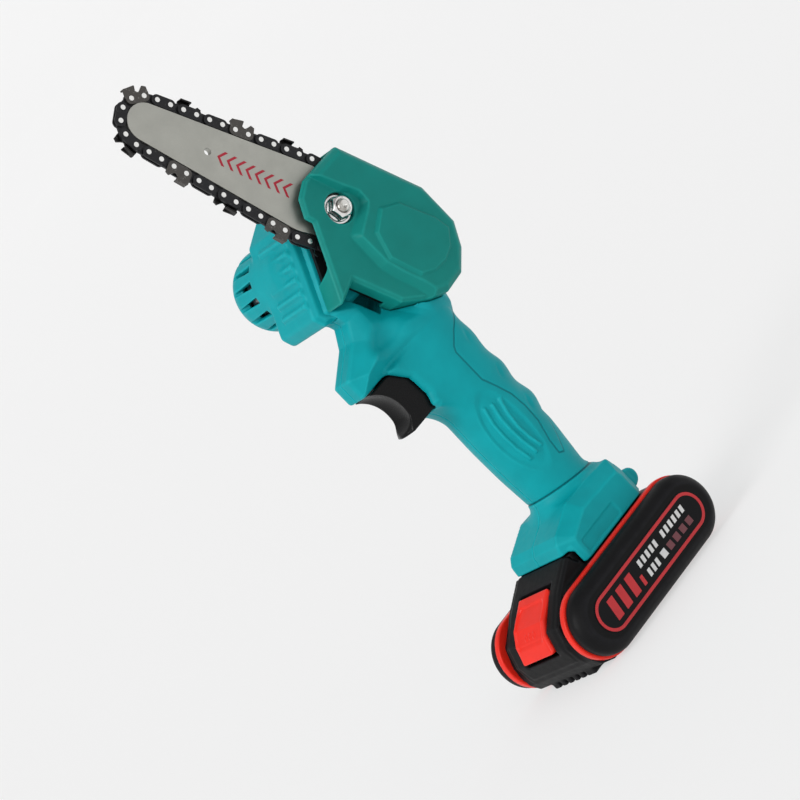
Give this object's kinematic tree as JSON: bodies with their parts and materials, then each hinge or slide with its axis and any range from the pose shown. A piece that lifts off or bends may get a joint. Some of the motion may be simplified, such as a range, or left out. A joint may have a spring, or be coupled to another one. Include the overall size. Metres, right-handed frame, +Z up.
{
  "type": "mini cordless chainsaw",
  "caption": "One-handed cordless pruning saw with a short guide bar and toothed chain, a pistol grip with a trigger, and a slide-on battery it stands on.",
  "frame": {"origin": "middle of the battery's bottom face, which the saw stands on", "axes": "+Z up, the way the bar points; +X towards the trigger's side; +Y towards the sprocket cover's side"},
  "size_m": [0.1155, 0.0962, 0.3254],
  "materials": {
    "teal_plastic": "satin moulded ABS",
    "cover_teal": "satin moulded ABS, darker",
    "black_plastic": "satin moulded nylon",
    "black_gloss": "smooth",
    "red_plastic": "semi-gloss",
    "label_dark": "printed label",
    "bar_steel": "satin",
    "chain_black": "blackened steel",
    "cutter_steel": "ground",
    "cutter_dark": "blackened steel",
    "rivet_steel": "polished",
    "plain_steel": "turned",
    "gear_steel": "sintered",
    "stud_steel": "zinc plated",
    "washer_zinc": "zinc plated",
    "nut_steel": "zinc plated",
    "magnet_grey": "ferrite",
    "contact_brass": "plated",
    "cell_wrap": "shrink wrap",
    "board_green": "solder mask"
  },
  "bodies": {
    "housing": {"housing_left": "teal_plastic", "housing_right": "teal_plastic", "housing_screws": "plain_steel", "sprocket_cover": "cover_teal", "bar_stud": "stud_steel", "cover_washer": "washer_zinc", "cover_nut": "nut_steel", "bar_mount_plate": "chain_black", "tension_pin": "plain_steel", "tension_screw": "plain_steel", "guide_bar": "bar_steel", "drive_links": "chain_black", "tie_straps": "chain_black", "left_cutters": "cutter_steel", "right_cutters": "cutter_dark", "chain_rivets": "rivet_steel", "idler_pin": "plain_steel", "spindle_bearings": "plain_steel", "motor_can": "plain_steel", "motor_magnets": "magnet_grey", "motor_end_bell": "black_plastic", "switch_body": "black_plastic", "terminal_block": "black_plastic", "terminal_blades": "contact_brass"},
    "rotor": {"rotor_shaft": "plain_steel", "armature": "plain_steel", "commutator": "contact_brass", "cooling_fan": "black_plastic", "motor_pinion": "gear_steel"},
    "idler": {"idler_gear": "gear_steel"},
    "spindle": {"output_gear": "gear_steel", "output_spindle": "plain_steel", "sprocket": "chain_black", "sprocket_clip": "plain_steel"},
    "trigger": {"trigger": "black_gloss", "trigger_spring": "plain_steel"},
    "battery": {"battery_core": "black_plastic", "battery_ring_left": "red_plastic", "battery_ring_right": "red_plastic", "battery_cap_left": "black_plastic", "battery_cap_right": "black_plastic", "battery_label_left": "label_dark", "battery_label_right": "label_dark", "battery_cells": "cell_wrap", "battery_board": "board_green", "battery_terminals": "contact_brass", "latch_spring": "plain_steel"},
    "button": {"release_button": "red_plastic"}
  },
  "joints": [
    {"name": "spindle_spin", "type": "hinge", "parent": "housing", "child": "spindle", "pos_m": [-0.0416, 0, 0.18109], "axis": [0, 1, 0], "continuous": true},
    {"name": "rotor_spin", "type": "hinge", "parent": "housing", "child": "rotor", "pos_m": [-0.012, 0, 0.211], "axis": [0, 1, 0], "continuous": true},
    {"name": "idler_spin", "type": "hinge", "parent": "housing", "child": "idler", "pos_m": [-0.02217, 0, 0.20073], "axis": [0, 1, 0], "continuous": true},
    {"name": "trigger_pull", "type": "slide", "parent": "housing", "child": "trigger", "axis": [-1, 0, 0], "range_m": [0, 0.006], "stiffness_N_per_m": 700, "springref_m": -0.006, "deforming": ["trigger_spring"]},
    {"name": "battery_slide", "type": "slide", "parent": "housing", "child": "battery", "axis": [1, 0, 0], "range_m": [0, 0.1]},
    {"name": "release_press", "type": "slide", "parent": "battery", "child": "button", "axis": [-0.8, 0, -0.6], "range_m": [0, 0.0025], "stiffness_N_per_m": 900, "springref_m": -0.003, "deforming": ["latch_spring"]}
  ],
  "couplings": [
    {"joint": "rotor_spin", "follows": "spindle_spin", "ratio": 4.5},
    {"joint": "idler_spin", "follows": "spindle_spin", "ratio": -2.0455}
  ]
}
